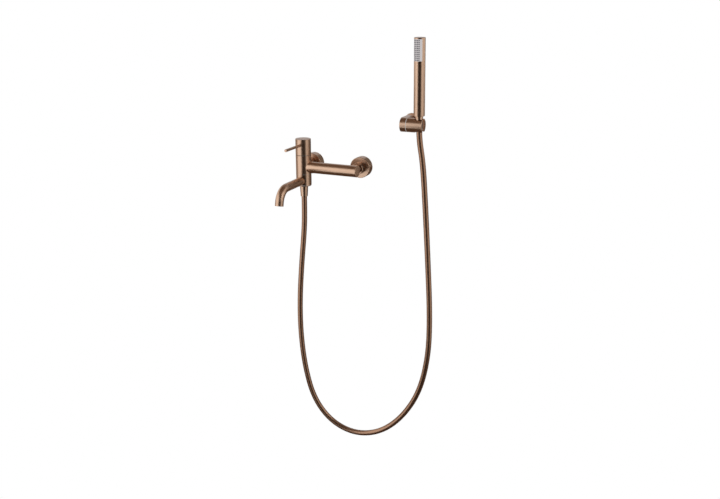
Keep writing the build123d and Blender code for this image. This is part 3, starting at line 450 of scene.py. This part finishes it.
nozzle_grey = material("nozzle silicone", (0.07, 0.07, 0.09), roughness=0.5, metallic=0.0, tone=0.05)
corners_per_nozzle = len(nozzle_profile_mm) * nozzle_sides
first_corner = np.arange(nozzle_columns * nozzle_rows)[:, None, None] * corners_per_nozzle
nozzle_faces = (first_corner + ring_faces(len(nozzle_profile_mm), nozzle_sides)).reshape(-1, 4)
nozzle_mesh = smooth_mesh("spray nozzles", nozzle_corners(), nozzle_faces)
nozzle_mesh.materials.append(nozzle_grey)
nozzle_mesh.update()
nozzles = bpy.data.objects.new("spray_nozzles", nozzle_mesh)
scene.collection.objects.link(nozzles)
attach(nozzles, "handset")


# Holder. A level bronze barrel with a grey plastic liner tilts on a steel screw, held by
# a pale friction ring and a spring washer. A steel grub screw fixes its block on a bronze
# plate, and two steel screws hold the plate on the wall.
along_wall = material(
    "bronze brushed round a level axis",
    bronze,
    roughness=0.29,
    metallic=1.0,
    stretch=(1.0, 0.15, 0.15),
)
liner_plastic = material("pale friction ring", (0.62, 0.6, 0.58), roughness=0.4, metallic=0.0, tone=0.05)
dress(along_wall, "holder_barrel", "bracket_block")
dress(grey_plastic, "holder_liner")
dress(liner_plastic, "holder_friction_ring")
dress(outward, "bracket_wall_plate")
dress(steel, "holder_pivot_screw", "pivot_spring_washer", "bracket_wall_screws", "bracket_grub_screw")


# Background and light. The photograph is cut out on pure white, so the world is white
# to the camera and in the metal, and dim to everything else. Two large soft lamps stand
# left and right. Cards that only reflections see give the metal its dark stripes, bright
# bands and grey top faces.
world = bpy.data.worlds.new("white")
scene.world = world
world.use_nodes = True
nodes = world.node_tree.nodes
links = world.node_tree.links
nodes.clear()
path = nodes.new("ShaderNodeLightPath")
seen = nodes.new("ShaderNodeMath")
seen.operation = "MAXIMUM"
links.new(path.outputs["Is Camera Ray"], seen.inputs[0])
links.new(path.outputs["Is Glossy Ray"], seen.inputs[1])
seen_too = nodes.new("ShaderNodeMath")
seen_too.operation = "MAXIMUM"
links.new(seen.outputs[0], seen_too.inputs[0])
links.new(path.outputs["Is Transmission Ray"], seen_too.inputs[1])
dim = nodes.new("ShaderNodeBackground")
dim.inputs["Color"].default_value = (1, 1, 1, 1)
dim.inputs["Strength"].default_value = 0.75
white = nodes.new("ShaderNodeBackground")
white.inputs["Color"].default_value = (1, 1, 1, 1)
white.inputs["Strength"].default_value = 1.0
mix = nodes.new("ShaderNodeMixShader")
links.new(seen_too.outputs[0], mix.inputs[0])
links.new(dim.outputs[0], mix.inputs[1])
links.new(white.outputs[0], mix.inputs[2])
surroundings = nodes.new("ShaderNodeOutputWorld")
links.new(mix.outputs[0], surroundings.inputs["Surface"])


def stand(made, place, aim):
    """Puts a lamp or a card at a place and turns it to face a point."""
    made.location = place
    made.rotation_euler = (Vector(aim) - Vector(place)).to_track_quat("-Z", "Y").to_euler()
    scene.collection.objects.link(made)


def lamp(name, place, aim, size, power):
    """Soft rectangular lamp."""
    data = bpy.data.lights.new(name, "AREA")
    data.shape = "RECTANGLE"
    data.size, data.size_y = size
    data.energy = power
    stand(bpy.data.objects.new(name, data), place, aim)


def card(name, place, aim, size, color):
    """Plain card of one colour that only reflections see."""
    half = size[0] / 2
    tall = size[1] / 2
    corners = [(-half, -tall, 0), (half, -tall, 0), (half, tall, 0), (-half, tall, 0)]
    data = bpy.data.meshes.new(name)
    data.from_pydata(corners, [], [(0, 1, 2, 3)])
    paint = bpy.data.materials.new(name)
    paint.use_nodes = True
    paint.node_tree.nodes.clear()
    glow = paint.node_tree.nodes.new("ShaderNodeEmission")
    glow.inputs["Color"].default_value = (*color, 1)
    result = paint.node_tree.nodes.new("ShaderNodeOutputMaterial")
    paint.node_tree.links.new(glow.outputs[0], result.inputs["Surface"])
    data.materials.append(paint)
    made = bpy.data.objects.new(name, data)
    made.visible_camera = False
    made.visible_shadow = False
    made.visible_diffuse = False
    stand(made, place, aim)
    return made


lamp("left lamp", place=(-1.6, -1.6, 0.9), aim=(0.15, -0.1, -0.2), size=(1.2, 1.8), power=8)
lamp("right lamp", place=(2.2, -0.6, 0.8), aim=(0.15, -0.1, -0.2), size=(0.9, 1.6), power=5)
near_black = (0.012, 0.006, 0.003)
cool_white = (1.22, 1.25, 1.3)
pale_grey = (0.8, 0.79, 0.78)
cool_grey = (0.56, 0.58, 0.62)
warm_grey = (0.36, 0.3, 0.26)
cards = [
    card(
        "dark card in front",
        place=(0.623, -0.847, -0.45),
        aim=(0.318, -0.002, -0.45),
        size=(1.2, 2.4),
        color=near_black,
    ),
    card(
        "dark card in front, low",
        place=(-0.017, -1.077, -0.84),
        aim=(-0.322, -0.232, -0.84),
        size=(0.163, 1.62),
        color=near_black,
    ),
    card(
        "bright card in front, left",
        place=(-0.85, -1.35, 0.0),
        aim=(0.15, -0.07, 0.0),
        size=(1.7, 2.4),
        color=cool_white,
    ),
    card(
        "grey card at the right, in front",
        place=(1.9, -0.3, -0.4),
        aim=(0, -0.3, -0.4),
        size=(1.8, 1.8),
        color=pale_grey,
    ),
    card(
        "pale card behind, high",
        place=(-0.2, 1.2, 0.925),
        aim=(-0.2, 0, 0.925),
        size=(3.0, 1.55),
        color=cool_grey,
    ),
    card(
        "dim card behind, high right",
        place=(0.6, 1.15, 0.45),
        aim=(0.6, 0, 0.45),
        size=(1.1, 0.9),
        color=(0.14, 0.12, 0.1),
    ),
    card(
        "dark card behind",
        place=(-0.4, 1.15, -0.35),
        aim=(-0.4, 0, -0.35),
        size=(1.1, 0.7),
        color=(0.08, 0.06, 0.05),
    ),
    card(
        "dark card above",
        place=(0.15, -0.6, 1.7),
        aim=(0.15, -0.59, 0),
        size=(4.0, 3.6),
        color=(0.16, 0.11, 0.08),
    ),
    card(
        "dark card below",
        place=(0.15, -0.3, -1.7),
        aim=(0.15, -0.29, 0),
        size=(5.0, 3.8),
        color=(0.09, 0.055, 0.035),
    ),
    card(
        "dim card behind, left",
        place=(-2.0, 1.2, -0.78),
        aim=(-2.0, 0, -0.78),
        size=(4.3, 1.5),
        color=warm_grey,
    ),
    card(
        "dim card behind, right",
        place=(2.3, 1.2, -0.78),
        aim=(2.3, 0, -0.78),
        size=(4.3, 1.5),
        color=(0.12, 0.09, 0.07),
    ),
    card(
        "dim card at the right",
        place=(2.5, 0.9, -0.78),
        aim=(0, 0.9, -0.78),
        size=(0.8, 1.5),
        color=(0.12, 0.09, 0.07),
    ),
    card(
        "dim card at the left",
        place=(-2.3, 0.2, -0.78),
        aim=(0, 0.2, -0.78),
        size=(2.4, 1.5),
        color=warm_grey,
    ),
]
